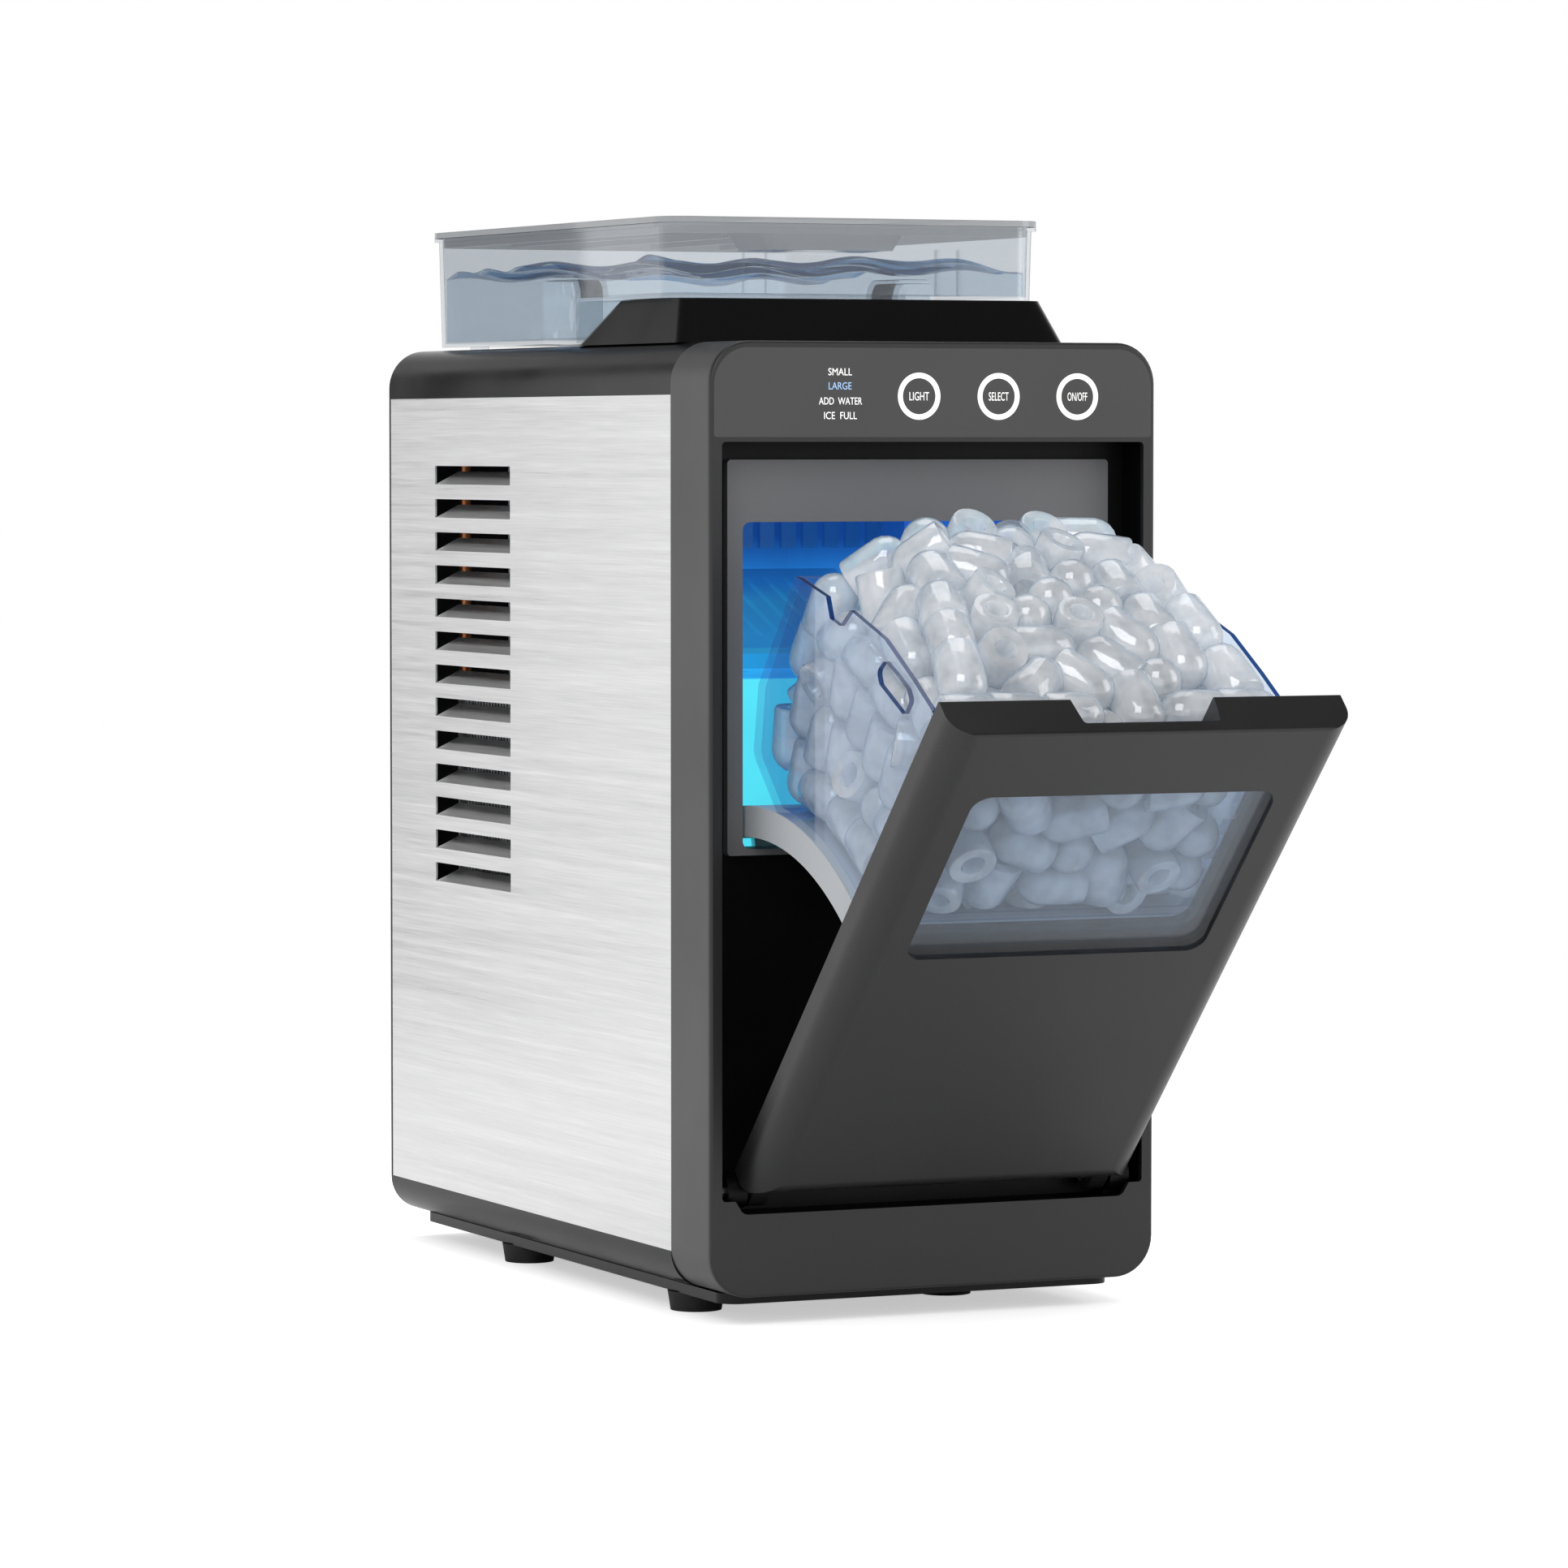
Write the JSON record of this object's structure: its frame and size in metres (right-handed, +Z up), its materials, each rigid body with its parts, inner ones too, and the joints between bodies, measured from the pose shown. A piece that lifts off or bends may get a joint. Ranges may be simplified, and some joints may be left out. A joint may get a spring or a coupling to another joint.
{
  "type": "countertop ice maker",
  "caption": "Narrow countertop ice maker with a tilt-out front door carrying a clear ice bin, brushed steel louvred sides and a lift-off smoky water tank on top.",
  "frame": {"origin": "centre of the base of the whole machine's box, door open, on the table", "axes": "+Z up, front faces -Y, +X to the right of a person facing +Y"},
  "size_m": [0.236, 0.663, 0.5314],
  "materials": {
    "black_plastic": "satin moulded black plastic",
    "dark_plastic": "satin dark grey plastic",
    "gloss_black": "gloss dark overlay",
    "grey_plastic": "satin grey plastic",
    "light_grey": "satin light grey plastic",
    "white_plastic": "white plastic",
    "steel": "horizontally brushed stainless steel",
    "plain_steel": "zinc plated steel",
    "black_steel": "black painted steel",
    "copper": "drawn copper",
    "aluminium": "plain aluminium",
    "rubber": "moulded rubber",
    "hose": "silicone hose",
    "clear_blue": "clear blue-tinted plastic",
    "clear": "clear plastic pane",
    "smoke": "smoky clear plastic",
    "board": "green circuit board"
  },
  "bodies": {
    "cabinet": {"base_tray": "black_plastic", "rubber_feet": "rubber", "foot_screws": "plain_steel", "left_side_panel": "steel", "right_side_panel": "steel", "rear_panel": "black_plastic", "panel_screws": "plain_steel", "screw_rails": "plain_steel", "power_inlet": "black_plastic", "top_cover": "black_plastic", "dock_seat": "black_plastic", "tank_dock": "black_plastic", "front_fascia": "dark_plastic", "control_panel": "gloss_black", "touch_rings": "white_plastic", "front_frame": "black_plastic", "landing_panel": "grey_plastic", "door_magnets": "plain_steel", "control_board": "board", "door_hinge_pins": "plain_steel", "hinge_brackets": "black_plastic", "chamber_liner": "white_plastic", "ice_chute": "white_plastic", "evaporator": "plain_steel", "tray_motor": "white_plastic", "tray_bearing": "black_plastic", "rake_bearings": "black_plastic", "led_lamp": "white_plastic", "ice_full_sensors": "black_plastic", "reservoir": "white_plastic", "water_pump": "black_plastic", "pump_hose": "hose", "drain_hose": "hose", "drain_nozzle": "black_plastic", "condenser": "aluminium", "fan_shroud": "black_plastic", "fan_motor": "plain_steel", "compressor": "black_steel", "compressor_grommets": "rubber", "refrigerant_pipes": "copper"},
    "door": {"door_shell": "dark_plastic", "door_inner_panel": "dark_plastic", "strike_plates": "plain_steel", "door_window": "clear", "bin_cradle": "light_grey", "ice_bin": "clear_blue"},
    "tray": {"water_tray": "white_plastic"},
    "rake": {"ice_rake": "white_plastic"},
    "fan": {"fan_rotor": "white_plastic"},
    "tank": {"tank_body": "smoke", "valve_cage": "white_plastic", "valve_spring": "plain_steel"},
    "tank_lid": {"tank_lid": "smoke"},
    "tank_valve": {"tank_valve": "white_plastic"},
    "drain_cap": {"drain_cap": "rubber"}
  },
  "joints": [
    {"name": "door_tilt", "type": "hinge", "parent": "cabinet", "child": "door", "pos_m": [0, -0.08879, 0.0645], "axis": [1, 0, 0], "range_deg": [-44.09, 0]},
    {"name": "tray_tilt", "type": "hinge", "parent": "cabinet", "child": "tray", "pos_m": [0, 0.16921, 0.426], "axis": [1, 0, 0], "range_deg": [0, 60]},
    {"name": "rake_sweep", "type": "hinge", "parent": "cabinet", "child": "rake", "pos_m": [0, 0.11121, 0.436], "axis": [1, 0, 0], "range_deg": [-20, 0]},
    {"name": "fan_spin", "type": "hinge", "parent": "cabinet", "child": "fan", "pos_m": [-0.08, 0.20321, 0.244], "axis": [1, 0, 0], "continuous": true},
    {"name": "tank_lift", "type": "slide", "parent": "cabinet", "child": "tank", "axis": [0, 0, 1], "range_m": [0, 0.12]},
    {"name": "lid_lift", "type": "slide", "parent": "tank", "child": "tank_lid", "axis": [0, 0, 1], "range_m": [0, 0.1]},
    {"name": "valve_lift", "type": "slide", "parent": "tank", "child": "tank_valve", "axis": [0, 0, 1], "range_m": [0, 0.003], "stiffness_N_per_m": 150, "deforming": ["valve_spring"]},
    {"name": "drain_cap_pull", "type": "slide", "parent": "cabinet", "child": "drain_cap", "axis": [0, 1, 0], "range_m": [0, 0.04]}
  ],
  "couplings": [
    {"joint": "rake_sweep", "follows": "tray_tilt", "ratio": -0.33333}
  ]
}
